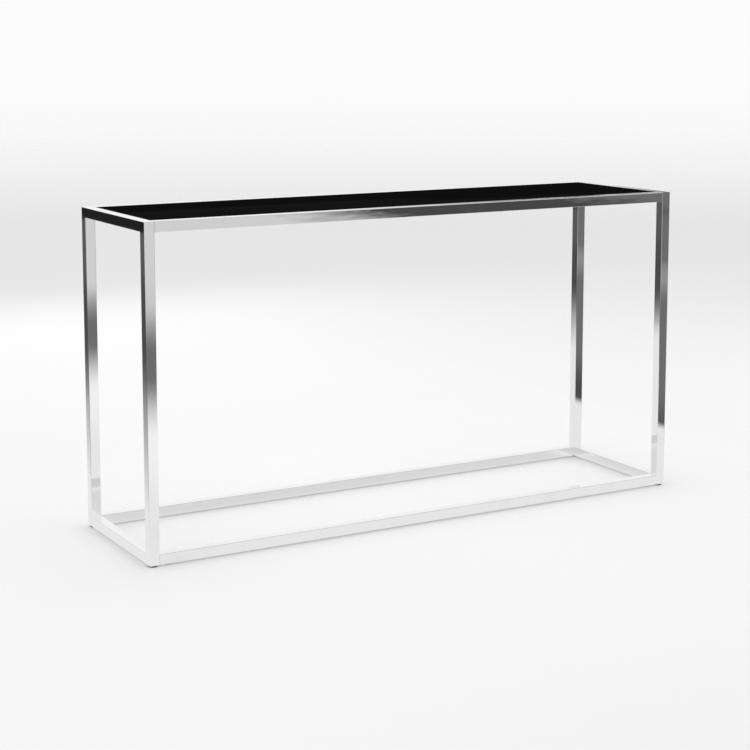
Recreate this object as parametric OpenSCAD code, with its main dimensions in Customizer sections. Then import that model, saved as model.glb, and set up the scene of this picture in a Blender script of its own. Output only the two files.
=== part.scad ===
// Console table: a polished square tube frame on low adjustable feet, with a flush glass top.
// Two welded end frames are joined by four long rails. Each rail slides over a spigot welded
// to a leg and is held by one countersunk screw from below.
// Front is -Y and left is -X. The origin is on the floor under the middle of the table.

/* [Table] */
// Overall length, along X
table_length = 1500; // [900:10:2000]
// Overall depth, along Y
table_depth = 400; // [300:5:600]
// Overall height, from the floor to the top face
table_height = 800; // [450:5:1000]

/* [Frame tube] */
// Outside width of the square tube
tube_w = 25; // [20:0.5:40]
// Wall thickness of the square tube
tube_wall = 1.5; // [1.2:0.1:2]
// Radius of the tube's outer corners
tube_corner_r = 1; // [0.5:0.1:1.8]

/* [Glass top] */
// Thickness of the glass
glass_thick = 8; // [5:0.5:12]
// Gap between the glass and the frame, all round
glass_gap = 1; // [0.5:0.1:3]
// Width of the ground edge on the glass
glass_arris = 0.8; // [0.3:0.1:1.5]
// Width of the ledges that carry the glass
ledge_w = 20; // [15:1:30]
// Thickness of the ledges
ledge_thick = 3; // [2:0.5:5]
// Room left at each end of a ledge so that the frame goes together
ledge_end_gap = 1; // [0.5:0.5:3]
// Diameter of the pads under the glass
pad_d = 10; // [6:0.5:12]
// Thickness of the pads under the glass
pad_thick = 1.5; // [1:0.1:3]
// Number of pads along each long ledge
pads_long = 5; // [3:1:9]
// Number of pads along each end ledge
pads_end = 2; // [1:1:4]

/* [Rail joints] */
// Length of the spigot inside the end of a rail
spigot_length = 45; // [35:1:70]
// Wall thickness of the spigot, which takes the screw thread
spigot_wall = 4; // [3:0.5:5]
// Clearance between spigot and rail, each side
spigot_gap = 0.2; // [0.1:0.05:0.5]
// Lead-in chamfer at the spigot's free end
spigot_chamfer = 2; // [0.5:0.5:3]
// Distance from the end of the rail to the screw
screw_inset = 25; // [15:1:30]
// Diameter of the screw thread
screw_d = 6; // [4:0.5:7]
// Overall length of the screw
screw_length = 9; // [6:0.5:12]
// Diameter of the countersunk head
screw_head_d = 11; // [8:0.5:13]
// Hexagon key size of the screw, across flats
screw_key = 4; // [2.5:0.5:4]
// Depth of the key's socket in the screw head
screw_key_depth = 2; // [1:0.5:3]

/* [Levelling feet] */
// Diameter of the foot base
foot_d = 22; // [18:0.5:40]
// Height of the foot base
foot_h = 3.5; // [3:0.5:12]
// Chamfer on the edges of the foot base and on the stud's tip
foot_chamfer = 0.6; // [0.2:0.1:0.8]
// Depth that the stud is moulded into the foot base
foot_pocket = 1.5; // [0.5:0.1:1.8]
// Gap between the foot and the frame when screwed right in
foot_gap = 0.3; // [0.1:0.1:2]
// Distance the foot screws out
foot_travel = 8; // [2:1:12]
// Diameter of the foot stud
stud_d = 8; // [6:0.5:9]
// Thread left in the insert when the foot is screwed right out
thread_hold = 8; // [5:0.5:12]
// Outside diameter of the threaded insert
insert_d = 11; // [9.5:0.5:12]
// Length of the threaded insert above the tube's underside
insert_length = 14; // [8:1:18]
// Diameter of the insert's flange
flange_d = 14; // [12.5:0.5:16]
// Thickness of the insert's flange
flange_thick = 0.8; // [0.5:0.1:1.5]
// Clearance round the flange in the foot's recess
flange_gap = 0.6; // [0.3:0.1:1]

/* [Fits] */
// Clearance between a thread and its hole, each side
thread_gap = 0.05; // [0.02:0.01:0.1]
// Clearance round a screw head and a pressed insert, each side
seat_gap = 0.1; // [0.05:0.05:0.3]

/* [Hidden] */
SIDES = [["left", -1], ["right", 1]];
FACES = [["front", -1], ["rear", 1]];
LEVELS = [["bottom", -1], ["top", 1]];
LEGS = [for (s = SIDES, f = FACES) str(s[0], "_", f[0], "_leg")];
END_RAILS = [for (s = SIDES, l = LEVELS) str(s[0], "_", l[0], "_end_rail")];
LONG_RAILS = [for (f = FACES, l = LEVELS) str(f[0], "_", l[0], "_rail")];
SPIGOTS = [for (s = SIDES, f = FACES, l = LEVELS) str(s[0], "_", f[0], "_", l[0], "_spigot")];
LONG_LEDGES = [for (f = FACES) str(f[0], "_glass_ledge")];
END_LEDGES = [for (s = SIDES) str(s[0], "_glass_ledge")];
INSERTS = [for (s = SIDES, f = FACES) str(s[0], "_", f[0], "_threaded_insert")];
FOOT_BASES = [for (s = SIDES, f = FACES) str(s[0], "_", f[0], "_foot_base")];
FOOT_STUDS = [for (s = SIDES, f = FACES) str(s[0], "_", f[0], "_foot_stud")];

$fn = 64;
over = 1;
hex_fn = 6;

half_length = table_length / 2;
half_depth = table_depth / 2;
frame_bottom = foot_h + foot_gap;
frame_height = table_height - frame_bottom;
tube_inner = tube_w - 2 * tube_wall;
tube_middle_x = half_length - tube_w / 2;
tube_middle_y = half_depth - tube_w / 2;
rail_length = table_length - 2 * tube_w;
spigot_w = tube_inner - 2 * spigot_gap;
screw_head_h = (screw_head_d - screw_d) / 2;
glass_bottom = table_height - glass_thick;
ledge_top = glass_bottom - pad_thick;
ledge_middle_x = half_length - tube_w - ledge_w / 2;
ledge_middle_y = half_depth - tube_w - ledge_w / 2;
long_ledge_length = rail_length - 2 * ledge_end_gap;
end_ledge_length = table_depth - 2 * tube_w - 2 * ledge_w - 2 * ledge_end_gap;
stud_bottom = foot_h - flange_thick - foot_pocket;
stud_top = frame_bottom + thread_hold + foot_travel;
stud_r = stud_d / 2 - thread_gap;

// Height of the middle of a rail: level -1 is the bottom rails, level 1 the top rails
function rail_middle_z(level) =
    level < 0 ? frame_bottom + tube_w / 2 : table_height - tube_w / 2;

// Square with four round corners
module rounded_square(size, r) {
    square([size - 2 * r, size], center = true);
    square([size, size - 2 * r], center = true);
    for (x = [-1, 1], y = [-1, 1])
        translate([x * (size / 2 - r), y * (size / 2 - r)]) circle(r);
}

module tube_section() {
    difference() {
        rounded_square(tube_w, tube_corner_r);
        square(tube_inner, center = true);
    }
}

// Tube along +Z with its outer side on the plane y = 0 and both ends cut at 45 degrees
module mitred_tube(length) {
    intersection() {
        translate([0, tube_w / 2, 0]) linear_extrude(length) tube_section();
        rotate([90, 0, 90]) linear_extrude(tube_w + 2 * over, center = true)
            polygon([
                [-over, -over],
                [tube_w + over, tube_w + over],
                [tube_w + over, length - tube_w - over],
                [-over, length + over]
            ]);
    }
}

// Square-cut tube along X, centred on the origin
module straight_tube(length) {
    rotate([90, 0, 90]) linear_extrude(length, center = true) tube_section();
}

module leg(side, face) {
    color("silver")
        translate([side * tube_middle_x, face * half_depth, frame_bottom])
            rotate(face < 0 ? 0 : 180) mitred_tube(frame_height);
}

module end_rail(side, level) {
    color("silver")
        difference() {
            translate([
                side * tube_middle_x,
                -level * half_depth,
                level < 0 ? frame_bottom : table_height
            ])
                rotate([-90 * level, 0, 0]) mitred_tube(table_depth);
            if (level < 0) for (face = [-1, 1]) foot_place(side, face) insert_hole();
        }
}

module long_rail(face, level) {
    color("silver")
        difference() {
            translate([0, face * tube_middle_y, rail_middle_z(level)])
                straight_tube(rail_length);
            for (side = [-1, 1]) screw_place(side, face, level) screw_cavity();
        }
}

// Square tube stub welded to the leg, with a chamfered free end pointing along +X from x = 0
module spigot_body() {
    half = spigot_w / 2;
    outline = [
        [0, -half],
        [spigot_length - spigot_chamfer, -half],
        [spigot_length, spigot_chamfer - half],
        [spigot_length, half - spigot_chamfer],
        [spigot_length - spigot_chamfer, half],
        [0, half]
    ];
    difference() {
        intersection() {
            linear_extrude(spigot_w, center = true) polygon(outline);
            rotate([90, 0, 0]) linear_extrude(spigot_w, center = true) polygon(outline);
        }
        rotate([90, 0, 90]) translate([0, 0, -over])
            linear_extrude(spigot_length + 2 * over)
                square(spigot_w - 2 * spigot_wall, center = true);
    }
}

module spigot(side, face, level) {
    color("gray")
        difference() {
            translate([
                side * (half_length - tube_w),
                face * tube_middle_y,
                rail_middle_z(level)
            ])
                rotate(side < 0 ? 0 : 180) spigot_body();
            screw_place(side, face, level) screw_cavity();
        }
}

// Puts a screw on its axis, pointing up, with its head flush with the rail's underside
module screw_place(side, face, level) {
    translate([
        side * (half_length - tube_w - screw_inset),
        face * tube_middle_y,
        rail_middle_z(level) - tube_w / 2
    ])
        children();
}

// Countersink and clearance hole for one screw
module screw_cavity() {
    translate([0, 0, -over]) cylinder(h = over, r = screw_head_d / 2 + seat_gap);
    cylinder(h = screw_head_h, r1 = screw_head_d / 2 + seat_gap, r2 = screw_d / 2 + seat_gap);
    cylinder(h = screw_length + over, r = screw_d / 2 + thread_gap);
}

module screw() {
    difference() {
        union() {
            cylinder(h = screw_head_h, r1 = screw_head_d / 2, r2 = screw_d / 2);
            cylinder(h = screw_length, r = screw_d / 2);
        }
        translate([0, 0, -over])
            cylinder(
                h = over + screw_key_depth,
                r = screw_key / 2 / cos(180 / hex_fn),
                $fn = hex_fn
            );
    }
}

module rail_screws() {
    color("dimgray")
        for (side = [-1, 1], face = [-1, 1], level = [-1, 1])
            screw_place(side, face, level) screw();
}

module long_ledge(face) {
    color("darkgray")
        translate([0, face * ledge_middle_y, ledge_top - ledge_thick / 2])
            cube([long_ledge_length, ledge_w, ledge_thick], center = true);
}

module end_ledge(side) {
    color("darkgray")
        translate([side * ledge_middle_x, 0, ledge_top - ledge_thick / 2])
            cube([ledge_w, end_ledge_length, ledge_thick], center = true);
}

// Round clear pads on the ledges, evenly spaced along each
module glass_pads() {
    long_step = (long_ledge_length - ledge_w) / (pads_long - 1);
    end_step = end_ledge_length / pads_end;
    color("white") {
        for (face = [-1, 1], i = [0 : pads_long - 1])
            translate([
                (i - (pads_long - 1) / 2) * long_step,
                face * ledge_middle_y,
                ledge_top
            ])
                cylinder(h = pad_thick, d = pad_d);
        for (side = [-1, 1], i = [0 : pads_end - 1])
            translate([
                side * ledge_middle_x,
                (i - (pads_end - 1) / 2) * end_step,
                ledge_top
            ])
                cylinder(h = pad_thick, d = pad_d);
    }
}

// Rectangle with its four corners cut at 45 degrees
module cut_rectangle(size_x, size_y, cut) {
    x = size_x / 2;
    y = size_y / 2;
    polygon([
        [cut - x, -y], [x - cut, -y], [x, cut - y], [x, y - cut],
        [x - cut, y], [cut - x, y], [-x, y - cut], [-x, cut - y]
    ]);
}

// Glass slab with a ground edge all round and slightly cut corners
module glass_top() {
    size_x = table_length - 2 * (tube_w + glass_gap);
    size_y = table_depth - 2 * (tube_w + glass_gap);
    color("black")
        translate([0, 0, glass_bottom + glass_thick / 2])
            intersection() {
                linear_extrude(glass_thick + 2 * over, center = true)
                    cut_rectangle(size_x, size_y, 2 * glass_arris);
                rotate([90, 0, 0]) linear_extrude(size_y + 2 * over, center = true)
                    cut_rectangle(size_x, glass_thick, glass_arris);
                rotate([90, 0, 90]) linear_extrude(size_x + 2 * over, center = true)
                    cut_rectangle(size_y, glass_thick, glass_arris);
            }
}

// Puts a foot's piece on the middle of a corner, measured from the frame's underside
module foot_place(side, face) {
    translate([side * tube_middle_x, face * tube_middle_y, frame_bottom]) children();
}

module insert_hole() {
    translate([0, 0, -over])
        cylinder(h = tube_wall + 2 * over, r = insert_d / 2 + seat_gap);
}

// Threaded insert pressed up into the tube's underside, with its flange outside
module threaded_insert(side, face) {
    color("gold")
        foot_place(side, face)
            difference() {
                union() {
                    translate([0, 0, -flange_thick]) cylinder(h = flange_thick, d = flange_d);
                    cylinder(h = insert_length, d = insert_d);
                }
                translate([0, 0, -flange_thick - over])
                    cylinder(h = insert_length + flange_thick + 2 * over, d = stud_d);
            }
}

// Moulded disc with a recess for the insert's flange and a pocket for the stud
module foot_base(side, face) {
    r = foot_d / 2;
    recess_r = flange_d / 2 + flange_gap;
    color("black")
        foot_place(side, face) translate([0, 0, -frame_bottom])
            rotate_extrude()
                polygon([
                    [0, 0],
                    [r - foot_chamfer, 0],
                    [r, foot_chamfer],
                    [r, foot_h - foot_chamfer],
                    [r - foot_chamfer, foot_h],
                    [recess_r, foot_h],
                    [recess_r, foot_h - flange_thick],
                    [stud_r, foot_h - flange_thick],
                    [stud_r, stud_bottom],
                    [0, stud_bottom]
                ]);
}

module foot_stud(side, face) {
    color("silver")
        foot_place(side, face) translate([0, 0, -frame_bottom])
            rotate_extrude()
                polygon([
                    [0, stud_bottom],
                    [stud_r, stud_bottom],
                    [stud_r, stud_top - foot_chamfer],
                    [stud_r - foot_chamfer, stud_top],
                    [0, stud_top]
                ]);
}

for (s = SIDES, f = FACES) {
    leg(s[1], f[1]);
    threaded_insert(s[1], f[1]);
    foot_base(s[1], f[1]);
    foot_stud(s[1], f[1]);
}
for (s = SIDES, l = LEVELS)
    end_rail(s[1], l[1]);
for (f = FACES, l = LEVELS)
    long_rail(f[1], l[1]);
for (s = SIDES, f = FACES, l = LEVELS)
    spigot(s[1], f[1], l[1]);
for (f = FACES)
    long_ledge(f[1]);
for (s = SIDES)
    end_ledge(s[1]);
rail_screws();
glass_pads();
glass_top();
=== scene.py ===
import math

import bmesh
import bpy
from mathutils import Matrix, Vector


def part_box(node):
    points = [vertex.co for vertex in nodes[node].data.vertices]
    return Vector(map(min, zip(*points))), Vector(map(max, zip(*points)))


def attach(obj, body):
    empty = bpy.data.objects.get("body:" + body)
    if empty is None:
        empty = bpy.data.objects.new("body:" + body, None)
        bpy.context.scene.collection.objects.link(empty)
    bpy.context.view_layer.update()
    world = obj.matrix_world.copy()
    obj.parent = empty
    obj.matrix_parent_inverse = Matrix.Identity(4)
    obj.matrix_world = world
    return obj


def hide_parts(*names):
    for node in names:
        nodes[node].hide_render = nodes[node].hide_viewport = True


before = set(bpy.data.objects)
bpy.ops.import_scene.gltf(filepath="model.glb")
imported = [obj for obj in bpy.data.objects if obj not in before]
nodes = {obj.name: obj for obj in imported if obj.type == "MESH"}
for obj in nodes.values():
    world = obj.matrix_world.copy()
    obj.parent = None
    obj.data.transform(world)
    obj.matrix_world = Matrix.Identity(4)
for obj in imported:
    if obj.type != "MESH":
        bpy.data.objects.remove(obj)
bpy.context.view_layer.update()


# --- Camera ---------------------------------------------------------------
# Stands in front of the left end, a little above the table top, and looks
# along the table to the right. Part of the view is shifted instead of tilted,
# so that the legs stay almost upright.
camera_data = bpy.data.cameras.new("camera")
camera_data.lens = 82.6
camera_data.shift_y = -0.15
camera = bpy.data.objects.new("camera", camera_data)
camera.location = (-2.198, -3.779, 1.213)
camera_turn = math.radians(29.72)
camera_tilt = math.radians(7.51)
camera.rotation_euler = (math.pi / 2 - camera_tilt, 0, -camera_turn)
bpy.context.scene.collection.objects.link(camera)
bpy.context.scene.camera = camera


# --- Polished frame -------------------------------------------------------
# Square steel tube with tight corners, in two closed end frames and four long
# rails. The corners are mitred, welded and ground flush, and everything is
# polished on the wheel and chromed.
MM = 0.001


def new_material(name):
    """A node material with just a Principled shader and its output."""
    material = bpy.data.materials.new(name)
    material.use_nodes = True
    tree = material.node_tree
    tree.nodes.clear()
    shader = tree.nodes.new("ShaderNodeBsdfPrincipled")
    output = tree.nodes.new("ShaderNodeOutputMaterial")
    tree.links.new(shader.outputs["BSDF"], output.inputs["Surface"])
    return material, tree, shader


def feed(tree, value, socket):
    """Links a socket, or sets a plain number."""
    if isinstance(value, bpy.types.NodeSocket):
        tree.links.new(value, socket)
    else:
        socket.default_value = value


def maths(tree, kind, a, b=0.0):
    """One step of arithmetic on sockets or numbers."""
    node = tree.nodes.new("ShaderNodeMath")
    node.operation = kind
    feed(tree, a, node.inputs[0])
    feed(tree, b, node.inputs[1])
    return node.outputs[0]


def ramp(tree, value, low, high, start=0.0, end=1.0, shape="SMOOTHSTEP"):
    """Takes a value from low..high to start..end, held at both ends."""
    node = tree.nodes.new("ShaderNodeMapRange")
    node.interpolation_type = shape
    tree.links.new(value, node.inputs["Value"])
    node.inputs["From Min"].default_value = low
    node.inputs["From Max"].default_value = high
    node.inputs["To Min"].default_value = start
    node.inputs["To Max"].default_value = end
    return node.outputs["Result"]


def noise(tree, vector, scale, detail=2.0, roughness=0.5):
    """Soft random patches, as a value from zero to one."""
    node = tree.nodes.new("ShaderNodeTexNoise")
    feed(tree, scale, node.inputs["Scale"])
    node.inputs["Detail"].default_value = detail
    node.inputs["Roughness"].default_value = roughness
    tree.links.new(vector, node.inputs["Vector"])
    return node.outputs["Fac"]


def place_on_piece(tree, scale=(1, 1, 1)):
    """Object coordinates. A pattern runs along an axis that has a small scale."""
    coordinates = tree.nodes.new("ShaderNodeTexCoord")
    mapping = tree.nodes.new("ShaderNodeMapping")
    mapping.inputs["Scale"].default_value = scale
    tree.links.new(coordinates.outputs["Object"], mapping.inputs["Vector"])
    return mapping.outputs["Vector"]


def new_group(name, inputs, outputs):
    """A node group that takes a Vector and named numbers, and gives named numbers."""
    group = bpy.data.node_groups.new(name, "ShaderNodeTree")
    group.interface.new_socket("Vector", in_out="INPUT", socket_type="NodeSocketVector")
    for label, default in inputs.items():
        socket = group.interface.new_socket(label, in_out="INPUT", socket_type="NodeSocketFloat")
        socket.default_value = default
    for label in outputs:
        group.interface.new_socket(label, in_out="OUTPUT", socket_type="NodeSocketFloat")
    return group, group.nodes.new("NodeGroupInput").outputs, group.nodes.new("NodeGroupOutput").inputs


def use_group(tree, group, vector, **values):
    """Places a group in a material with its own values, and gives its outputs."""
    node = tree.nodes.new("ShaderNodeGroup")
    node.node_tree = group
    tree.links.new(vector, node.inputs["Vector"])
    for label, value in values.items():
        node.inputs[label].default_value = value
    return node.outputs


def two_colours(tree, mask, base, marked, shader):
    """Base Color goes from base to marked where the mask is one."""
    mix = tree.nodes.new("ShaderNodeMix")
    mix.data_type = "RGBA"
    tree.links.new(mask, mix.inputs["Factor"])
    mix.inputs["A"].default_value = (*base, 1)
    mix.inputs["B"].default_value = (*marked, 1)
    tree.links.new(mix.outputs["Result"], shader.inputs["Base Color"])


def emboss(tree, shader, height, depth):
    """Bump on the shader's normal, with heights from zero to depth."""
    node = tree.nodes.new("ShaderNodeBump")
    node.inputs["Distance"].default_value = depth
    tree.links.new(height, node.inputs["Height"])
    tree.links.new(node.outputs["Normal"], shader.inputs["Normal"])


# Wheel marks: long shallow ripples in the face with short faint ones on them,
# and hairlines along the piece
wheel_marks, given, result = new_group(
    "wheel_marks", {"Ripple": 5.0, "Grain": 900.0}, ["Height", "Hairlines"]
)
long_ripple = noise(wheel_marks, given["Vector"], given["Ripple"], 1.0)
closer = maths(wheel_marks, "MULTIPLY", given["Ripple"], 5.5)
short_ripple = noise(wheel_marks, given["Vector"], closer, 2.0)
faint = maths(wheel_marks, "MULTIPLY", short_ripple, 0.2)
wheel_marks.links.new(maths(wheel_marks, "ADD", long_ripple, faint), result["Height"])
grain = noise(wheel_marks, given["Vector"], given["Grain"], 3.0, 0.7)
wheel_marks.links.new(ramp(wheel_marks, grain, 0.5, 0.8), result["Hairlines"])

# Handling marks: faint smears in patches, and specks of dust
handling_marks, given, result = new_group(
    "handling_marks", {"Patch": 9.0, "Speck": 1400.0}, ["Smears", "Dust"]
)
patches = noise(handling_marks, given["Vector"], given["Patch"], 4.0)
handling_marks.links.new(ramp(handling_marks, patches, 0.5, 0.75), result["Smears"])
specks = noise(handling_marks, given["Vector"], given["Speck"], 1.0)
handling_marks.links.new(ramp(handling_marks, specks, 0.72, 0.8), result["Dust"])


def dulled(tree, base, *marks):
    """Roughness: a base, and more of it for each mask, given as (mask, amount)."""
    total = base
    for mask, amount in marks:
        total = maths(tree, "ADD", maths(tree, "MULTIPLY", mask, amount), total)
    return total


def polished_chrome(name, along):
    """Mirror chrome. The tube's own axis has the small number in along."""
    material, tree, shader = new_material(name)
    shader.inputs["Metallic"].default_value = 1.0
    wheel = use_group(tree, wheel_marks, place_on_piece(tree, along), Ripple=5.0, Grain=900.0)
    touched = use_group(tree, handling_marks, place_on_piece(tree), Patch=7.0)
    dullness = dulled(
        tree,
        0.03,
        (touched["Smears"], 0.035),
        (wheel["Hairlines"], 0.025),
        (touched["Dust"], 0.1),
    )
    tree.links.new(dullness, shader.inputs["Roughness"])
    two_colours(tree, touched["Smears"], (0.90, 0.90, 0.905), (0.84, 0.84, 0.845), shader)
    emboss(tree, shader, wheel["Height"], 0.6 * MM)
    return material


def cover(names, material):
    """Gives carried-over pieces their finish."""
    for name in names:
        nodes[name].data.materials.clear()
        nodes[name].data.materials.append(material)


SIDES = ("left", "right")
FACES = ("front", "rear")
LEVELS = ("bottom", "top")
CORNERS = [f"{side}_{face}" for side in SIDES for face in FACES]
cover([f"{c}_leg" for c in CORNERS], polished_chrome("chrome_leg", (1, 1, 0.3)))
cover(
    [f"{side}_{level}_end_rail" for side in SIDES for level in LEVELS],
    polished_chrome("chrome_end_rail", (1, 0.3, 1)),
)
cover(
    [f"{face}_{level}_rail" for face in FACES for level in LEVELS],
    polished_chrome("chrome_long_rail", (0.3, 1, 1)),
)


# --- Spigots --------------------------------------------------------------
# Stubs of thick square tube, welded to the legs, inside the ends of the long
# rails. They have a lead-in chamfer and a tapped hole, and are left as rolled,
# with brown patches from the heat of the weld.
def rolled_steel(name, base, marked, roughness, along, grain=350.0):
    """Plain or plated steel with fine lines, and dull patches of the marked colour."""
    material, tree, shader = new_material(name)
    shader.inputs["Metallic"].default_value = 1.0
    lines = use_group(tree, wheel_marks, place_on_piece(tree, along), Ripple=60.0, Grain=grain)
    touched = use_group(tree, handling_marks, place_on_piece(tree), Patch=70.0, Speck=2600.0)
    two_colours(tree, touched["Smears"], base, marked, shader)
    dullness = dulled(
        tree, roughness, (touched["Smears"], 0.15), (lines["Hairlines"], 0.2), (touched["Dust"], 0.2)
    )
    tree.links.new(dullness, shader.inputs["Roughness"])
    emboss(tree, shader, lines["Hairlines"], 0.02 * MM)
    return material


spigot_steel = rolled_steel(
    "spigot_steel",
    base=(0.42, 0.42, 0.43),
    marked=(0.22, 0.17, 0.13),
    roughness=0.42,
    along=(0.04, 1, 1),
)
cover([f"{c}_{level}_spigot" for c in CORNERS for level in LEVELS], spigot_steel)


# --- Rail screws ----------------------------------------------------------
# Black countersunk screws with a hexagon socket, one in the underside of each
# end of each long rail, flush with it and screwed into the spigot.
def added(name):
    """Names the primitive that was just added and puts its place into its mesh."""
    piece = bpy.context.object
    piece.name = name
    piece.data.name = name
    bpy.ops.object.transform_apply(location=True, rotation=True, scale=True)
    return piece


def round_bar(name, radius, low, high, sides=64):
    """A round bar about the Z axis."""
    bpy.ops.object.select_all(action="DESELECT")
    bpy.ops.mesh.primitive_cylinder_add(
        vertices=sides, radius=radius, depth=high - low, location=(0, 0, (low + high) / 2)
    )
    return added(name)


def pick_faces(piece, wanted):
    """In edit mode, selects only the faces that are wanted, judged by middle and normal."""
    bpy.ops.mesh.select_mode(type="FACE")
    bpy.ops.mesh.select_all(action="DESELECT")
    mesh = bmesh.from_edit_mesh(piece.data)
    mesh.normal_update()
    for face in mesh.faces:
        if wanted(face.calc_center_median(), face.normal):
            face.select_set(True)
    bmesh.update_edit_mesh(piece.data)


def pick_edges(piece, wanted):
    """In edit mode, selects only the edges that are wanted, judged by their two ends."""
    bpy.ops.mesh.select_mode(type="EDGE")
    bpy.ops.mesh.select_all(action="DESELECT")
    mesh = bmesh.from_edit_mesh(piece.data)
    for edge in mesh.edges:
        if wanted(edge.verts[0].co, edge.verts[1].co):
            edge.select_set(True)
    bmesh.update_edit_mesh(piece.data)


def near(a, b):
    """The same height or place, give or take a hundredth of a millimetre."""
    return abs(a - b) < 0.01 * MM


def apply_to(piece, kind, **settings):
    """Adds a modifier with these settings and applies it."""
    modifier = piece.modifiers.new(kind.lower(), kind)
    for setting, value in settings.items():
        setattr(modifier, setting, value)
    bpy.ops.object.select_all(action="DESELECT")
    piece.select_set(True)
    bpy.context.view_layer.objects.active = piece
    bpy.ops.object.modifier_apply(modifier=modifier.name)


def carve(piece, tool, operation):
    """Joins, cuts or trims a piece with another, which is used up."""
    apply_to(piece, "BOOLEAN", object=tool, operation=operation, solver="EXACT")
    bpy.data.objects.remove(tool)


def threaded_bar(name, radius, pitch, low, high, chamfer):
    """A threaded bar about the Z axis, with its upper end chamfered."""
    depth = 0.6 * pitch
    flank = 0.38 * pitch
    land = 0.12 * pitch
    margin = 0.2 * MM
    # Starts an odd share of a turn below the bar, so that no point lies on an end cut
    start = low - 1.517 * pitch
    bpy.ops.object.select_all(action="DESELECT")
    bpy.ops.mesh.primitive_plane_add(size=pitch, location=(radius - depth, 0, start))
    bar = added(name)
    bpy.ops.object.mode_set(mode="EDIT")
    bpy.ops.mesh.select_mode(type="VERT")
    bpy.ops.mesh.select_all(action="SELECT")
    bpy.ops.mesh.merge(type="CENTER")
    for outward, upward in ((depth, flank), (0, land), (-depth, flank), (0, land)):
        bpy.ops.mesh.extrude_region_move(TRANSFORM_OT_translate={"value": (outward, 0, upward)})
    bpy.ops.object.mode_set(mode="OBJECT")
    apply_to(
        bar,
        "SCREW",
        angle=2 * math.pi,
        screw_offset=pitch,
        iterations=math.ceil((high - low) / pitch) + 4,
        steps=32,
        render_steps=32,
        use_merge_vertices=True,
        merge_threshold=0.001 * MM,
    )
    bpy.ops.object.mode_set(mode="EDIT")
    bpy.ops.mesh.select_all(action="SELECT")
    bpy.ops.mesh.remove_doubles(threshold=0.001 * MM)
    for cut_height, side in ((low, -1), (high + 0.5 * pitch, 1)):
        bpy.ops.mesh.select_all(action="SELECT")
        bpy.ops.mesh.bisect(
            plane_co=(0, 0, cut_height),
            plane_no=(0, 0, side),
            use_fill=True,
            clear_outer=True,
            threshold=0.0001 * MM,
        )
    bpy.ops.mesh.select_all(action="SELECT")
    bpy.ops.mesh.normals_make_consistent(inside=False)
    bpy.ops.object.mode_set(mode="OBJECT")
    envelope = round_bar("envelope", radius + margin, low - pitch, high)
    bpy.ops.object.mode_set(mode="EDIT")
    pick_edges(envelope, lambda a, b: near(a.z, high) and near(b.z, high))
    bpy.ops.mesh.bevel(offset=chamfer + margin, segments=1, affect="EDGES")
    bpy.ops.object.mode_set(mode="OBJECT")
    carve(bar, envelope, "INTERSECT")
    return bar


def smooth(piece, angle=30):
    """Smooth shading, but for edges sharper than the angle."""
    bpy.ops.object.select_all(action="DESELECT")
    piece.select_set(True)
    bpy.context.view_layer.objects.active = piece
    bpy.ops.object.shade_smooth_by_angle(angle=math.radians(angle))


def copy_to(pattern, name, place, turn=0.0):
    """A copy with its own mesh, turned about Z and moved, with its place in its mesh."""
    piece = pattern.copy()
    piece.data = pattern.data.copy()
    piece.name = name
    piece.data.name = name
    piece.location = place
    piece.rotation_euler.z = turn
    bpy.context.scene.collection.objects.link(piece)
    bpy.ops.object.select_all(action="DESELECT")
    piece.select_set(True)
    bpy.context.view_layer.objects.active = piece
    bpy.ops.object.transform_apply(location=True, rotation=True, scale=False)
    return piece


def fit(piece, body, finish_slot, *replaced):
    """Hangs a finished piece on its body in place of its plain one."""
    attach(piece, body)
    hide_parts(*replaced)


screw_radius = 3 * MM
screw_pitch = 1 * MM
screw_length = 9 * MM
head_radius = 5.5 * MM
head_height = 2.5 * MM
socket_radius = 2 * MM / math.cos(math.pi / 6)
socket_depth = 2 * MM
screw = threaded_bar(
    "screw_pattern", screw_radius, screw_pitch, 0.8 * head_height, screw_length, chamfer=0.5 * MM
)
bpy.ops.object.select_all(action="DESELECT")
bpy.ops.mesh.primitive_cone_add(
    vertices=64,
    radius1=head_radius,
    radius2=screw_radius,
    depth=head_height,
    location=(0, 0, head_height / 2),
)
head = added("head")
bpy.ops.object.mode_set(mode="EDIT")
pick_edges(head, lambda a, b: near(a.z, 0) and near(b.z, 0))
bpy.ops.mesh.bevel(offset=0.25 * MM, segments=3, affect="EDGES")
bpy.ops.object.mode_set(mode="OBJECT")
carve(screw, head, "UNION")
socket = round_bar("socket", socket_radius, -1 * MM, socket_depth, sides=6)
bpy.ops.object.mode_set(mode="EDIT")
# The bottom of the hexagon runs to a shallow drilled point
pick_faces(socket, lambda middle, normal: normal.z > 0.9)
bpy.ops.mesh.inset(thickness=0.8 * socket_radius, depth=0.3 * MM)
bpy.ops.object.mode_set(mode="OBJECT")
carve(screw, socket, "DIFFERENCE")
smooth(screw)
black_screw = rolled_steel(
    "black_screw_steel",
    base=(0.10, 0.10, 0.105),
    marked=(0.05, 0.048, 0.045),
    roughness=0.35,
    along=(1, 1, 1),
    grain=2500.0,
)
screw.data.materials.append(black_screw)
screws_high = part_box("rail_screws")[1]
for side, x in (("left", head_radius - screws_high.x), ("right", screws_high.x - head_radius)):
    for face in FACES:
        for level in LEVELS:
            rail_low, rail_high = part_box(f"{face}_{level}_rail")
            place = (x, (rail_low.y + rail_high.y) / 2, rail_low.z)
            piece = copy_to(screw, f"{side}_{face}_{level}_rail_screw", place)
            fit(piece, "frame", "screw_steel", "rail_screws")
bpy.data.objects.remove(screw)


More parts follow.
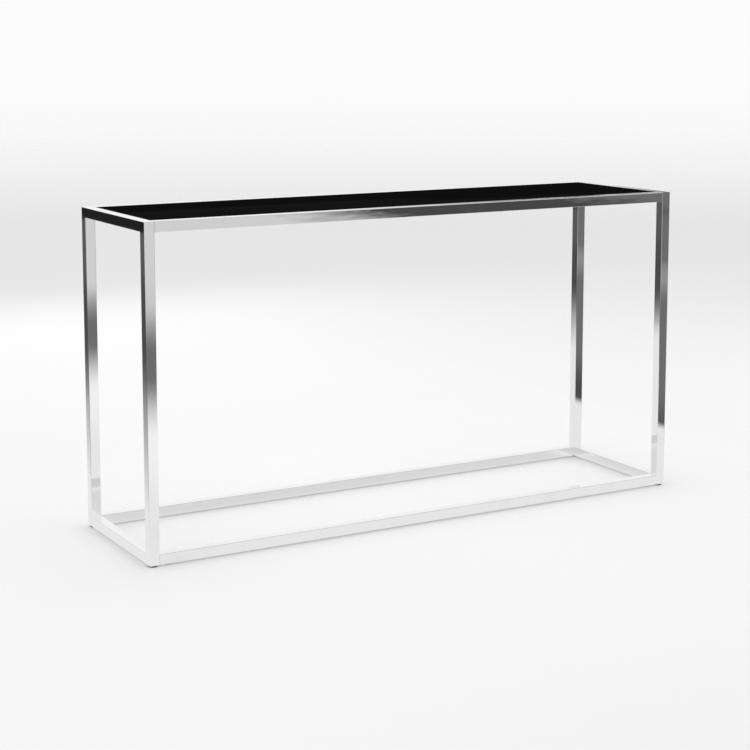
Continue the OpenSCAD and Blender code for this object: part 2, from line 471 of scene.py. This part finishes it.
# --- Glass ledges ---------------------------------------------------------
# Flat steel strips with rolled edges, along the inside of the top rails. Short
# stitches of weld under each strip hold it to its rail, and it is chromed with
# the frame, without the last polish.
bead_length = 26 * MM
bead_leg = 2.6 * MM
bead_step = 1.8 * MM
bead_sunk_in_strip = 0.1 * MM
bead_clear_of_rail = 0.1 * MM
stitch_pitch = 170 * MM
rolled_edge = 0.6 * MM
bpy.ops.object.select_all(action="DESELECT")
bpy.ops.mesh.primitive_uv_sphere_add(
    segments=20, ring_count=12, radius=1, scale=(0.75 * bead_leg, bead_leg, bead_leg)
)
bead = added("weld_bead")
ripples = round(bead_length / bead_step)
apply_to(
    bead,
    "ARRAY",
    count=ripples,
    use_relative_offset=False,
    use_constant_offset=True,
    constant_offset_displace=(bead_step, 0, 0),
)
apply_to(bead, "REMESH", mode="VOXEL", voxel_size=0.35 * MM)
bpy.ops.object.mode_set(mode="EDIT")
bpy.ops.mesh.select_all(action="SELECT")
bpy.ops.transform.translate(value=(-(ripples - 1) * bead_step / 2, 0, 0))
for cut, waste_side in (
    ((0, 0, bead_sunk_in_strip), (0, 0, 1)),
    ((0, bead_clear_of_rail, 0), (0, -1, 0)),
):
    bpy.ops.mesh.select_all(action="SELECT")
    bpy.ops.mesh.bisect(
        plane_co=cut,
        plane_no=waste_side,
        use_fill=True,
        clear_outer=True,
        threshold=0.0001 * MM,
    )
bpy.ops.object.mode_set(mode="OBJECT")
ledge_steel = rolled_steel(
    "ledge_steel",
    base=(0.62, 0.62, 0.63),
    marked=(0.48, 0.48, 0.49),
    roughness=0.24,
    along=(0.05, 0.05, 1),
    grain=500.0,
)
for side, turn, outward in (
    ("front", 0, Vector((0, -1, 0))),
    ("rear", 180, Vector((0, 1, 0))),
    ("left", -90, Vector((-1, 0, 0))),
    ("right", 90, Vector((1, 0, 0))),
):
    node = f"{side}_glass_ledge"
    low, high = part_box(node)
    size = high - low
    bpy.ops.object.select_all(action="DESELECT")
    bpy.ops.mesh.primitive_cube_add(size=1, location=(low + high) / 2, scale=size)
    ledge = added(f"{side}_ledge_strip")
    apply_to(ledge, "BEVEL", width=rolled_edge, segments=3, limit_method="ANGLE")
    along = Vector((abs(outward.y), abs(outward.x), 0))
    width = abs(size.dot(outward))
    rail_line = (low + high) / 2 + outward * (width / 2)
    rail_line.z = low.z
    stitches = math.ceil(size.dot(along) / stitch_pitch)
    step = size.dot(along) / stitches
    welds = []
    for i in range(stitches):
        place = rail_line + along * ((i - (stitches - 1) / 2) * step)
        welds.append(copy_to(bead, f"{side}_weld_{i}", place, math.radians(turn)))
    bpy.ops.object.select_all(action="DESELECT")
    for weld in welds:
        weld.select_set(True)
    ledge.select_set(True)
    bpy.context.view_layer.objects.active = ledge
    bpy.ops.object.join()
    smooth(ledge, 40)
    ledge.data.materials.append(ledge_steel)
    fit(ledge, "frame", "ledge_steel", node)
bpy.data.objects.remove(bead)


# --- Glass pads -----------------------------------------------------------
# Clear soft plastic buttons with a domed edge and a self-adhesive back, stuck
# along the ledges. The glass lies on them.
clear_plastic, tree, shader = new_material("clear_plastic")
shader.inputs["Base Color"].default_value = (0.93, 0.94, 0.93, 1)
shader.inputs["Transmission Weight"].default_value = 1.0
shader.inputs["IOR"].default_value = 1.49
touched = use_group(tree, handling_marks, place_on_piece(tree), Patch=200.0, Speck=3000.0)
dullness = dulled(tree, 0.22, (touched["Smears"], 0.2), (touched["Dust"], 0.3))
tree.links.new(dullness, shader.inputs["Roughness"])
pads_low, pads_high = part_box("glass_pads")
pads_on_long_ledge = 5
pads_on_end_ledge = 2
domed_edge = 0.9 * MM
stuck_edge = 0.15 * MM
ledge_boxes = {side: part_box(f"{side}_glass_ledge") for side in FACES + SIDES}
ledge_middles = {side: (low + high) / 2 for side, (low, high) in ledge_boxes.items()}
front_ledge = ledge_boxes["front"][1] - ledge_boxes["front"][0]
left_ledge = ledge_boxes["left"][1] - ledge_boxes["left"][0]
pad_radius = pads_high.y - ledge_middles["rear"].y
pad_height = pads_high.z - pads_low.z
pad = round_bar("pad_pattern", pad_radius, 0, pad_height, sides=40)
bpy.ops.object.mode_set(mode="EDIT")
pick_edges(pad, lambda a, b: near(a.z, pad_height) and near(b.z, pad_height))
bpy.ops.mesh.bevel(offset=domed_edge, segments=6, affect="EDGES")
pick_edges(pad, lambda a, b: near(a.z, 0) and near(b.z, 0))
bpy.ops.mesh.bevel(offset=stuck_edge, segments=2, affect="EDGES")
bpy.ops.object.mode_set(mode="OBJECT")
smooth(pad, 50)
pad.data.materials.append(clear_plastic)
long_step = (front_ledge.x - front_ledge.y) / (pads_on_long_ledge - 1)
end_step = left_ledge.y / pads_on_end_ledge
pad_places = []
for face in FACES:
    for i in range(pads_on_long_ledge):
        pad_places.append(((i - (pads_on_long_ledge - 1) / 2) * long_step, ledge_middles[face].y))
for side in SIDES:
    for i in range(pads_on_end_ledge):
        pad_places.append((ledge_middles[side].x, (i - (pads_on_end_ledge - 1) / 2) * end_step))
for number, (x, y) in enumerate(pad_places, start=1):
    piece = copy_to(pad, f"glass_pad_{number}", (x, y, pads_low.z))
    fit(piece, "frame", "clear_pad", "glass_pads")
bpy.data.objects.remove(pad)


# --- Glass top ------------------------------------------------------------
# Toughened glass, painted black on its underside, with ground edges and blunted
# corners. It lies loose on the pads, flush with the frame.
blunted_corner = 2 * MM
ground_chamfer = 0.8 * MM
black_glass, tree, shader = new_material("black_glass")
shader.inputs["Specular IOR Level"].default_value = 0.0
shader.inputs["Coat Weight"].default_value = 0.012
shader.inputs["Coat IOR"].default_value = 2.2
shader.inputs["Coat Roughness"].default_value = 0.02
touched = use_group(tree, handling_marks, place_on_piece(tree), Patch=6.0, Speck=1100.0)
two_colours(tree, touched["Dust"], (0.0014, 0.0014, 0.0015), (0.006, 0.006, 0.006), shader)
tree.links.new(dulled(tree, 0.04, (touched["Smears"], 0.06)), shader.inputs["Roughness"])

ground_edge, tree, shader = new_material("ground_glass_edge")
shader.inputs["Specular IOR Level"].default_value = 0.3
ground = use_group(tree, wheel_marks, place_on_piece(tree, (0.2, 0.2, 1)), Ripple=40.0, Grain=1500.0)
two_colours(tree, ground["Hairlines"], (0.012, 0.016, 0.015), (0.03, 0.038, 0.036), shader)
tree.links.new(dulled(tree, 0.25, (ground["Hairlines"], 0.25)), shader.inputs["Roughness"])
emboss(tree, shader, ground["Hairlines"], 0.01 * MM)

back_paint, tree, shader = new_material("black_back_paint")
shader.inputs["Specular IOR Level"].default_value = 0.35
sprayed = use_group(tree, handling_marks, place_on_piece(tree), Patch=40.0, Speck=900.0)
two_colours(tree, sprayed["Smears"], (0.012, 0.012, 0.013), (0.02, 0.02, 0.021), shader)
tree.links.new(dulled(tree, 0.45, (sprayed["Smears"], 0.15)), shader.inputs["Roughness"])
emboss(tree, shader, sprayed["Dust"], 0.02 * MM)

glass_low, glass_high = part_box("glass_top")
bpy.ops.object.select_all(action="DESELECT")
bpy.ops.mesh.primitive_cube_add(
    size=1, location=(glass_low + glass_high) / 2, scale=glass_high - glass_low
)
glass = added("black_glass_top")
bpy.ops.object.mode_set(mode="EDIT")
pick_edges(glass, lambda a, b: not near(a.z, b.z))
bpy.ops.mesh.bevel(offset=blunted_corner, segments=6, affect="EDGES")
pick_edges(
    glass,
    lambda a, b: near(a.z, b.z) and (near(a.z, glass_high.z) or near(a.z, glass_low.z)),
)
bpy.ops.mesh.bevel(offset=ground_chamfer, segments=3, affect="EDGES")
bpy.ops.object.mode_set(mode="OBJECT")
smooth(glass, 35)
glass_finishes = [black_glass, ground_edge, back_paint]
for material in glass_finishes:
    glass.data.materials.append(material)
for face in glass.data.polygons:
    if face.normal.z > 0.99:
        face.material_index = glass_finishes.index(black_glass)
    elif face.normal.z < -0.99:
        face.material_index = glass_finishes.index(back_paint)
    else:
        face.material_index = glass_finishes.index(ground_edge)
fit(glass, "frame", "black_glass", "glass_top")


# --- Threaded inserts -----------------------------------------------------
# Yellow zinc-plated steel nuts with a flange and a knurled body, pressed up
# into the underside of the frame at its corners. The feet screw into them.
insert_zinc = rolled_steel(
    "insert_yellow_zinc",
    base=(0.62, 0.50, 0.26),
    marked=(0.50, 0.44, 0.33),
    roughness=0.3,
    along=(1, 1, 0.2),
    grain=1500.0,
)
body_radius = 5.5 * MM
bore_radius = 4 * MM
knurl_sides = 96
knurl_depth = 0.25 * MM
lead_in = 1 * MM
lead_in_taper = 0.88
drill_overrun = 1 * MM
insert_low, insert_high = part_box(f"{CORNERS[0]}_threaded_insert")
flange_radius = (insert_high.x - insert_low.x) / 2
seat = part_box(f"{CORNERS[0]}_leg")[0].z
above_flange = seat + 1 * MM


def facet_number(middle, sides):
    """Which facet of a round bar a face is, counted round the Z axis from its middle."""
    return math.floor(math.degrees(math.atan2(middle.y, middle.x)) * sides / 360)


insert = round_bar("insert_pattern", flange_radius, insert_low.z, seat, sides=knurl_sides)
bpy.ops.object.mode_set(mode="EDIT")
pick_edges(insert, lambda a, b: near(a.z, insert_low.z) and near(b.z, insert_low.z))
bpy.ops.mesh.bevel(offset=0.2 * MM, segments=2, affect="EDGES")
pick_faces(insert, lambda middle, normal: normal.z > 0.9)
bpy.ops.mesh.inset(thickness=flange_radius - body_radius)
bpy.ops.mesh.extrude_region_move(
    TRANSFORM_OT_translate={"value": (0, 0, insert_high.z - seat - lead_in)}
)
pick_faces(
    insert,
    lambda middle, normal: middle.z > above_flange
    and abs(normal.z) < 0.1
    and facet_number(middle, knurl_sides) % 2 == 0,
)
bpy.ops.mesh.inset(thickness=0.05 * MM, depth=-knurl_depth, use_individual=True)
pick_faces(insert, lambda middle, normal: normal.z > 0.9 and middle.z > above_flange)
bpy.ops.mesh.extrude_region_move(TRANSFORM_OT_translate={"value": (0, 0, lead_in)})
bpy.ops.transform.resize(value=(lead_in_taper, lead_in_taper, 1))
bpy.ops.object.mode_set(mode="OBJECT")
bore_low = insert_low.z - drill_overrun
bore_high = insert_high.z + drill_overrun
bore = round_bar("bore", bore_radius, bore_low, bore_high, sides=knurl_sides)
carve(insert, bore, "DIFFERENCE")
smooth(insert)
insert.data.materials.append(insert_zinc)
for corner in CORNERS:
    node = f"{corner}_threaded_insert"
    low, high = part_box(node)
    place = ((low.x + high.x) / 2, (low.y + high.y) / 2, 0)
    piece = copy_to(insert, f"{corner}_knurled_insert", place)
    fit(piece, "frame", "insert_zinc", node)
bpy.data.objects.remove(insert)


# --- Levelling feet -------------------------------------------------------
# Grey nylon discs with grip flats round the rim, moulded on to a zinc-plated
# threaded stud. They turn by hand to level the table.
foot_nylon, tree, shader = new_material("foot_nylon")
shader.inputs["Specular IOR Level"].default_value = 0.4
spark_texture = use_group(tree, wheel_marks, place_on_piece(tree), Ripple=300.0, Grain=2600.0)
touched = use_group(tree, handling_marks, place_on_piece(tree), Patch=160.0, Speck=2400.0)
two_colours(tree, touched["Smears"], (0.035, 0.035, 0.037), (0.06, 0.06, 0.062), shader)
dullness = dulled(tree, 0.45, (touched["Smears"], 0.15), (spark_texture["Hairlines"], 0.15))
tree.links.new(dullness, shader.inputs["Roughness"])
emboss(tree, shader, spark_texture["Hairlines"], 0.03 * MM)
stud_zinc = rolled_steel(
    "stud_bright_zinc",
    base=(0.66, 0.67, 0.69),
    marked=(0.52, 0.53, 0.54),
    roughness=0.26,
    along=(1, 1, 0.3),
    grain=1800.0,
)

rim_low, rim_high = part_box(f"{CORNERS[0]}_foot_base")
stud_low, stud_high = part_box(f"{CORNERS[0]}_foot_stud")
disc_radius = (rim_high.x - rim_low.x) / 2
disc_height = rim_high.z
stud_radius = (stud_high.x - stud_low.x) / 2
stud_pitch = 1.25 * MM
rounded_rim = 0.6 * MM
recess_radius = 7.6 * MM
recess_depth = 0.8 * MM
rim_sides = 120
facets_per_grip = 5
facets_per_rib = 2
grip_border = 0.3 * MM
grip_depth = 0.35 * MM
standing_rim = 1.6 * MM
groove_depth = 0.3 * MM
groove_width = 5 * MM
groove_outer_slope = 0.4 * MM
groove_inner_slope = 0.3 * MM
disc = round_bar("disc_pattern", disc_radius, 0, disc_height, sides=rim_sides)
bpy.ops.object.mode_set(mode="EDIT")
pick_edges(
    disc,
    lambda a, b: near(a.z, b.z) and (near(a.z, 0) or near(a.z, disc_height)),
)
bpy.ops.mesh.bevel(offset=rounded_rim, segments=4, affect="EDGES")
pick_faces(
    disc,
    lambda middle, normal: abs(normal.z) < 0.1
    and facet_number(middle, rim_sides) % facets_per_grip >= facets_per_rib,
)
bpy.ops.mesh.inset(thickness=grip_border, depth=-grip_depth)
pick_faces(disc, lambda middle, normal: normal.z > 0.999 and near(middle.z, disc_height))
bpy.ops.mesh.inset(thickness=disc_radius - rounded_rim - recess_radius)
bpy.ops.mesh.extrude_region_move(TRANSFORM_OT_translate={"value": (0, 0, -recess_depth)})
bpy.ops.mesh.inset(thickness=recess_radius - stud_radius)
bpy.ops.mesh.extrude_region_move(
    TRANSFORM_OT_translate={"value": (0, 0, stud_low.z + recess_depth - disc_height)}
)
# Underneath, a wide shallow groove between the rim and the middle
pick_faces(disc, lambda middle, normal: normal.z < -0.999 and near(middle.z, 0))
bpy.ops.mesh.inset(thickness=standing_rim)
bpy.ops.mesh.inset(thickness=groove_outer_slope, depth=-groove_depth)
bpy.ops.mesh.inset(thickness=groove_width)
bpy.ops.mesh.inset(thickness=groove_inner_slope, depth=groove_depth)
bpy.ops.object.mode_set(mode="OBJECT")
smooth(disc, 35)
disc.data.materials.append(foot_nylon)
stud = threaded_bar(
    "stud_pattern", stud_radius, stud_pitch, stud_low.z, stud_high.z, chamfer=0.6 * MM
)
smooth(stud)
stud.data.materials.append(stud_zinc)
for corner in CORNERS:
    low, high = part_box(f"{corner}_foot_base")
    place = ((low.x + high.x) / 2, (low.y + high.y) / 2, 0)
    piece = copy_to(disc, f"{corner}_grip_disc", place)
    fit(piece, f"{corner}_foot", "foot_nylon", f"{corner}_foot_base")
    piece = copy_to(stud, f"{corner}_threaded_stud", place)
    fit(piece, f"{corner}_foot", "stud_zinc", f"{corner}_foot_stud")
bpy.data.objects.remove(disc)
bpy.data.objects.remove(stud)


# --- Floor and light ------------------------------------------------------
# A plain pale floor that fades into a white background, under even light from
# all round and a soft light above each side of the table.
def stage_plane(name, size):
    """A square of ground that isn't part of the table."""
    bpy.ops.object.select_all(action="DESELECT")
    bpy.ops.mesh.primitive_plane_add(size=size)
    plane = bpy.context.object
    plane.name = name
    return plane


def how_far(tree, point):
    """Distance from the middle of the table, in metres."""
    node = tree.nodes.new("ShaderNodeVectorMath")
    node.operation = "LENGTH"
    tree.links.new(point, node.inputs[0])
    return node.outputs["Value"]


def product(tree, *values):
    """All the values multiplied, to limit an area on several sides and set its strength."""
    total = values[0]
    for value in values[1:]:
        total = maths(tree, "MULTIPLY", total, value)
    return total


def lit(tree, base, *areas):
    """Brightness: a base, and what each area adds to it or takes from it."""
    total = base
    for area in areas:
        total = maths(tree, "ADD", area, total)
    return total


def choose(tree, switch, yes, no):
    """One value where the switch is on, and the other where it is off."""
    mix = tree.nodes.new("ShaderNodeMix")
    tree.links.new(switch, mix.inputs["Factor"])
    feed(tree, no, mix.inputs["A"])
    feed(tree, yes, mix.inputs["B"])
    return mix.outputs["Result"]


# The floor fades away between about 6 and 67 metres from the table, and the
# polished pieces don't mirror it
floor = stage_plane("floor", 400)
floor.visible_glossy = False
floor_paint, tree, shader = new_material("floor_paint")
shader.inputs["Base Color"].default_value = (0.86, 0.86, 0.86, 1)
shader.inputs["Roughness"].default_value = 0.9
shader.inputs["Specular IOR Level"].default_value = 0.1
coordinates = tree.nodes.new("ShaderNodeTexCoord")
nearness = maths(tree, "DIVIDE", 1.0, how_far(tree, coordinates.outputs["Object"]))
tree.links.new(ramp(tree, nearness, 0.015, 0.16), shader.inputs["Alpha"])
floor.data.materials.append(floor_paint)

# What the polished pieces mirror below the horizon, painted as a glowing plane
# that stands in for the lit floor: a white paper sheet round the table, grey
# floor beyond it, windows in front and a dark doorway beside them, at the left
# rear a paler floor with a dark gap, and painted shade under the table
mirrored = stage_plane("mirrored_studio", 80)
mirrored.visible_camera = False
mirrored.visible_diffuse = False
mirrored.visible_shadow = False
mirrored.visible_transmission = False
mirrored.visible_volume_scatter = False
studio_paint = bpy.data.materials.new("mirrored_studio_paint")
studio_paint.use_nodes = True
tree = studio_paint.node_tree
tree.nodes.clear()
output = tree.nodes.new("ShaderNodeOutputMaterial")
glow = tree.nodes.new("ShaderNodeEmission")
tree.links.new(glow.outputs["Emission"], output.inputs["Surface"])
coordinates = tree.nodes.new("ShaderNodeTexCoord")
split = tree.nodes.new("ShaderNodeSeparateXYZ")
tree.links.new(coordinates.outputs["Object"], split.inputs[0])
x, y = split.outputs["X"], split.outputs["Y"]
paper = product(
    tree,
    maths(tree, "POWER", ramp(tree, x, -1.8, -0.92, shape="LINEAR"), 1.5),
    ramp(tree, x, 1.16, 1.24, 1, 0),
    maths(tree, "POWER", ramp(tree, y, 1.6, 3.1, 1, 0, shape="LINEAR"), 1.6),
    ramp(tree, y, -2.3, -1.35),
    0.8,
)
windows = product(
    tree,
    ramp(tree, y, -4.0, -2.7, 1, 0),
    ramp(tree, x, 2.9, 3.8, 1, 0, shape="LINEAR"),
    0.52,
    ramp(tree, how_far(tree, coordinates.outputs["Object"]), 9.5, 13.0, 1, 0.25),
)
front_floor = product(tree, ramp(tree, y, -1.2, -0.6, 1, 0), 0.09)
dark_doorway = product(
    tree, ramp(tree, y, -6.3, -5.6, 1, 0), ramp(tree, x, 3.3, 3.9), ramp(tree, x, 5.3, 5.8, 1, 0), -0.1
)
rear_floor = product(tree, ramp(tree, y, 3.9, 4.8), ramp(tree, x, -1.5, -2.0), 0.03)
rear_gap = product(
    tree, ramp(tree, y, 5.95, 6.1), ramp(tree, x, -3.26, -3.32), ramp(tree, x, -3.68, -3.6), -0.09
)
# Painted shade: the mirrored floor is darker under the table, where the real floor lies in shadow
shade_under_table = product(
    tree,
    ramp(tree, maths(tree, "ABSOLUTE", x), 0.66, 0.74, 1, 0),
    ramp(tree, maths(tree, "ABSOLUTE", y), 0.12, 0.2, 1, 0),
    -0.12,
)
brightness = lit(
    tree, 0.075, paper, windows, front_floor, dark_doorway, rear_floor, rear_gap, shade_under_table
)
tree.links.new(brightness, glow.inputs["Strength"])
mirrored.data.materials.append(studio_paint)

# The air round the studio: white behind the table and even as light. What the
# polished pieces mirror of it has a dark wall at the right rear, with a sill
# that slopes a little, a dark skirting all round and a dimmer ceiling
world = bpy.data.worlds.new("studio")
bpy.context.scene.world = world
world.use_nodes = True
tree = world.node_tree
tree.nodes.clear()
output = tree.nodes.new("ShaderNodeOutputWorld")
background = tree.nodes.new("ShaderNodeBackground")
background.inputs["Color"].default_value = (1, 1, 1, 1)
tree.links.new(background.outputs["Background"], output.inputs["Surface"])
coordinates = tree.nodes.new("ShaderNodeTexCoord")
split = tree.nodes.new("ShaderNodeSeparateXYZ")
tree.links.new(coordinates.outputs["Generated"], split.inputs[0])
bearing = maths(tree, "ARCTAN2", split.outputs["X"], split.outputs["Y"])
rise = split.outputs["Z"]
sill_start = math.radians(22)
sill_slope = 0.0547
past_start = maths(tree, "SUBTRACT", bearing, sill_start)
above_sill = maths(tree, "ADD", rise, maths(tree, "MULTIPLY", past_start, sill_slope))
dark_wall = product(
    tree,
    ramp(tree, bearing, math.radians(26), math.radians(37)),
    ramp(tree, bearing, math.radians(60), math.radians(80), 1, 0),
    ramp(tree, above_sill, 0.1005, 0.1035),
    ramp(tree, rise, 0.135, 0.16, 1, 0),
    -0.78,
)
skirting = ramp(tree, rise, 0.03, 0.075, -0.62, 0)
ceiling = ramp(tree, rise, 0.31, 0.5, 0, -0.38)
mirrored_air = maths(tree, "MAXIMUM", lit(tree, 0.96, dark_wall, skirting, ceiling), 0.1)
ray = tree.nodes.new("ShaderNodeLightPath")
air = choose(tree, ray.outputs["Is Glossy Ray"], mirrored_air, 0.93)
air = choose(tree, ray.outputs["Is Camera Ray"], 0.97, air)
tree.links.new(air, background.inputs["Strength"])


def soft_light(name, place, aim, width, height, energy):
    """A rectangular light that the polished pieces don't mirror."""
    data = bpy.data.lights.new(name, "AREA")
    data.shape = "RECTANGLE"
    data.size = width
    data.size_y = height
    data.energy = energy
    light = bpy.data.objects.new(name, data)
    light.location = place
    light.rotation_euler = (Vector(aim) - Vector(place)).to_track_quat("-Z", "Y").to_euler()
    light.visible_glossy = False
    bpy.context.scene.collection.objects.link(light)


middle_of_floor = (0, 0, 0)
soft_light("overhead", (0.2, 0.3, 3.4), middle_of_floor, 4.0, 3.0, 14)
soft_light("left_side", (-3.2, -1.0, 1.6), middle_of_floor, 2.4, 1.6, 8)
soft_light("right_side", (3.2, -0.6, 1.6), middle_of_floor, 2.4, 1.6, 8)
soft_light("rear_side", (0.2, 3.4, 1.6), middle_of_floor, 2.4, 1.6, 10)
soft_light("fill_under_top", (0, 0, 0.76), middle_of_floor, 1.35, 0.3, 2.0)

bpy.context.scene.view_settings.view_transform = "Standard"
